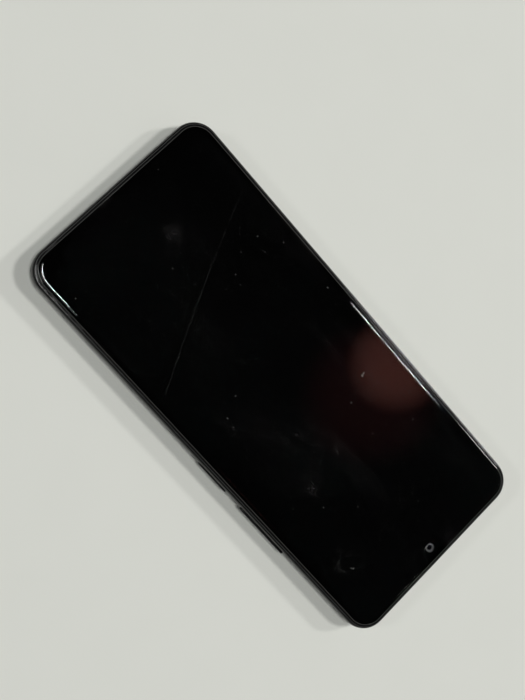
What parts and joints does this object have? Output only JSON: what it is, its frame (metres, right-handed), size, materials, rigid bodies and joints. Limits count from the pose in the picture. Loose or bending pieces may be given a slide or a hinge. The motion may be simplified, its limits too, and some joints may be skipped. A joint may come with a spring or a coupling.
{
  "type": "smartphone",
  "caption": "Large-screen smartphone with a rounded moulded frame, flat glass front with a notched protector, side keys and a card tray.",
  "frame": {"origin": "on the resting surface, under the middle of the body", "axes": "+X towards the side with the keys, +Y towards the top end, +Z out of the screen"},
  "size_m": [0.0766, 0.168, 0.0101],
  "materials": {
    "frame_plastic": "gloss, lightly worn",
    "rear_plastic": "gloss",
    "key_plastic": "satin gloss",
    "bezel_plastic": "polished",
    "tray_plastic": "gloss",
    "cover_glass": "polished, black print behind",
    "protector_glass": "polished, scratched",
    "camera_glass": "polished, black print behind",
    "lens_glass": "coated",
    "display_panel": "dark polariser",
    "backlight": "white, matt",
    "plate_metal": "bead blasted",
    "adhesive": "matt",
    "flex_film": "satin",
    "chip_black": "matt",
    "camera_black": "matt",
    "sheet_steel": "rolled",
    "port_steel": "drawn",
    "screw_steel": "plated",
    "mesh_metal": "woven, black",
    "bezel_metal": "anodised",
    "board_resin": "solder mask",
    "connector_plastic": "moulded",
    "cover_plastic": "moulded, fine texture",
    "contact_brass": "plated",
    "cable_jacket": "satin",
    "battery_pouch": "wrapped foil",
    "diaphragm": "film",
    "led_yellow": "phosphor",
    "diffuser": "frosted"
  },
  "bodies": {
    "body": {"antenna_cable": "cable_jacket", "antenna_contacts": "contact_brass", "audio_jack": "connector_plastic", "backlight_unit": "backlight", "battery": "battery_pouch", "battery_flex": "flex_film", "battery_protection_board": "board_resin", "board_connectors": "connector_plastic", "camera_bezel": "bezel_metal", "camera_window": "camera_glass", "cover_glass": "cover_glass", "depth_camera": "camera_black", "display_adhesive": "adhesive", "display_bezel": "bezel_plastic", "display_driver_chip": "chip_black", "display_flex": "flex_film", "display_panel": "display_panel", "earpiece_mesh": "mesh_metal", "earpiece_receiver": "sheet_steel", "flash_diffuser": "diffuser", "flash_led": "led_yellow", "front_camera": "camera_black", "front_camera_lens": "lens_glass", "key_domes": "sheet_steel", "key_support_plate": "sheet_steel", "light_sensor": "chip_black", "loudspeaker_diaphragm": "diaphragm", "loudspeaker_frame": "cover_plastic", "lower_cover_screws": "screw_steel", "lower_inner_cover": "cover_plastic", "macro_camera": "camera_black", "main_camera_housing": "camera_black", "main_chips": "chip_black", "main_flex": "flex_film", "mainboard": "board_resin", "microphones": "sheet_steel", "mid_plate": "plate_metal", "rear_cover": "rear_plastic", "rear_cover_adhesive": "adhesive", "screen_protector": "protector_glass", "shield_cans": "sheet_steel", "side_frame": "frame_plastic", "side_key_flex": "flex_film", "sim_reader": "sheet_steel", "speaker_mesh": "mesh_metal", "sub_board": "board_resin", "ultrawide_camera": "camera_black", "upper_cover_screws": "screw_steel", "upper_inner_cover": "cover_plastic", "usb_shell": "port_steel", "usb_tongue": "connector_plastic", "vibration_motor_can": "sheet_steel"},
    "power_key": {"power_key": "key_plastic"},
    "volume_key": {"volume_key": "key_plastic"},
    "sim_tray": {"sim_tray": "tray_plastic"},
    "eject_rod": {"sim_eject_rod": "sheet_steel"},
    "eject_lever": {"sim_eject_lever": "sheet_steel"},
    "motor_rotor": {"vibration_motor_rotor": "contact_brass"},
    "lens_barrel": {"main_camera_barrel": "camera_black", "main_camera_lens": "lens_glass"}
  },
  "joints": [
    {"name": "power_key_press", "type": "slide", "parent": "body", "child": "power_key", "axis": [-1, 0, 0], "range_m": [0, 0.00025], "stiffness_N_per_m": 1500},
    {"name": "volume_key_rock", "type": "hinge", "parent": "body", "child": "volume_key", "pos_m": [0.0352, 0.032, 0.005], "axis": [0, 0, 1], "range_deg": [-1.2, 1.2], "stiffness_Nm_per_rad": 0.2},
    {"name": "sim_tray_slide", "type": "slide", "parent": "body", "child": "sim_tray", "axis": [-1, 0, 0], "range_m": [0, 0.0185]},
    {"name": "eject_rod_push", "type": "slide", "parent": "body", "child": "eject_rod", "axis": [1, 0, 0], "range_m": [0, 0.0012]},
    {"name": "eject_lever_turn", "type": "hinge", "parent": "body", "child": "eject_lever", "pos_m": [-0.0166, 0.041, 0.0046], "axis": [0, 0, 1], "range_deg": [0, 15.5]},
    {"name": "motor_rotor_spin", "type": "hinge", "parent": "body", "child": "motor_rotor", "pos_m": [-0.0265, -0.0672, 0.0045], "axis": [0, 0, 1], "continuous": true},
    {"name": "lens_focus", "type": "slide", "parent": "body", "child": "lens_barrel", "axis": [0, 0, -1], "range_m": [0, 0.0003], "stiffness_N_per_m": 50}
  ],
  "couplings": [
    {"joint": "eject_lever_turn", "follows": "eject_rod_push", "rad_per_m": 222.5}
  ]
}
